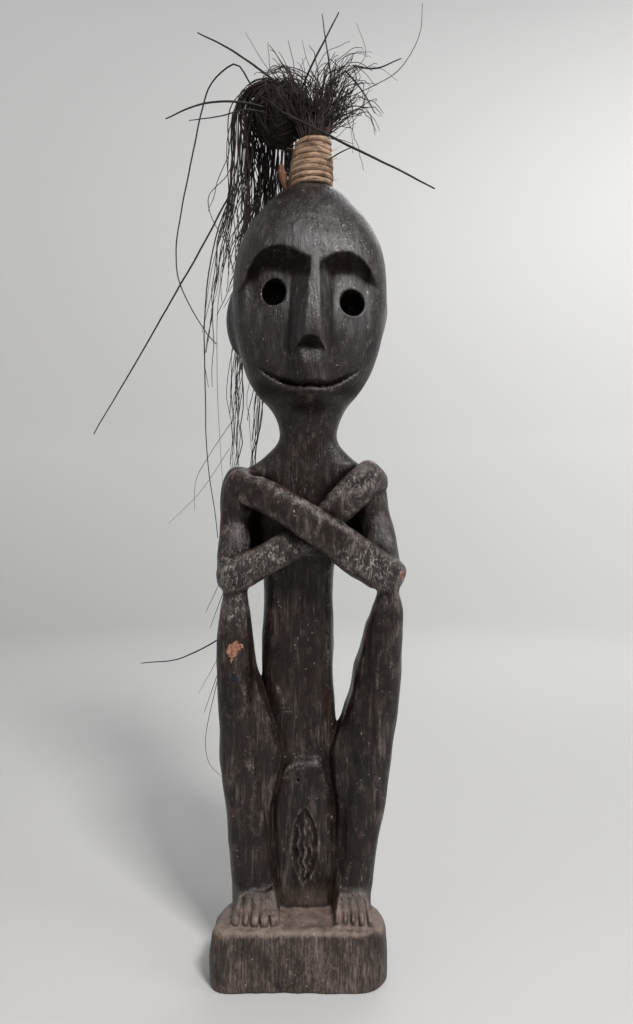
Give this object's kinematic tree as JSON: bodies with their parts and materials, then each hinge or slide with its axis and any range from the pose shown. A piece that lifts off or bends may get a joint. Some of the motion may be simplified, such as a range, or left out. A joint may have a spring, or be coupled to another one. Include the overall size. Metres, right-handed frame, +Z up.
{
  "type": "carved ancestor figure",
  "caption": "Free-standing wooden ancestor figure squatting with crossed arms on a block base, topped by a cane-bound tuft of palm fibre that falls down its back.",
  "frame": {"origin": "middle of the base block's underside, on the surface it stands on", "axes": "+Z up along the body to the crown, -Y the way the face looks, +X to the right of someone facing the figure"},
  "size_m": [0.2156, 0.0975, 0.6001],
  "materials": {
    "carved_wood": "black-stained and worn, satin, with rubbed brown and grey patches",
    "binding_cane": "matt split cane",
    "palm_fibre": "dark brown-black fibre with a slight sheen"
  },
  "bodies": {
    "figure": {"carved_figure": "carved_wood", "cane_winding": "binding_cane", "fibre_stem": "palm_fibre", "fibre_knot": "palm_fibre", "tuft_lock_front": "palm_fibre", "tuft_lock_right": "palm_fibre", "tuft_lock_side": "palm_fibre", "tuft_lock_upright": "palm_fibre", "tuft_lock_rear": "palm_fibre", "quill_long_right": "palm_fibre", "quill_top": "palm_fibre", "quill_top_thin": "palm_fibre", "quill_upper_left": "palm_fibre", "quill_left": "palm_fibre", "quill_left_low": "palm_fibre", "quill_right_up": "palm_fibre", "quill_right_down": "palm_fibre", "quill_right_low": "palm_fibre"},
    "hair_outer": {"fall_lock_outer": "palm_fibre", "quill_arch": "palm_fibre", "quill_slant": "palm_fibre"},
    "hair_twisted": {"fall_lock_twisted": "palm_fibre", "quill_hanging": "palm_fibre"},
    "hair_middle": {"fall_lock_middle": "palm_fibre", "quill_low_side": "palm_fibre"},
    "hair_back": {"fall_lock_back": "palm_fibre"}
  },
  "joints": [
    {"name": "outer_lock_swing", "type": "hinge", "parent": "figure", "child": "hair_outer", "pos_m": [-0.031, -0.0012, 0.553], "axis": [0, 1, 0], "range_deg": [0, 35]},
    {"name": "twisted_lock_swing", "type": "hinge", "parent": "figure", "child": "hair_twisted", "pos_m": [-0.03, 0.014, 0.5588], "axis": [0.64, 0.7684, 0], "range_deg": [0, 35]},
    {"name": "middle_lock_swing", "type": "hinge", "parent": "figure", "child": "hair_middle", "pos_m": [-0.02, 0.0225, 0.558], "axis": [0.9063, 0.4226, 0], "range_deg": [0, 40]},
    {"name": "back_lock_swing", "type": "hinge", "parent": "figure", "child": "hair_back", "pos_m": [-0.009, 0.0248, 0.555], "axis": [1, 0, 0], "range_deg": [0, 45]}
  ]
}
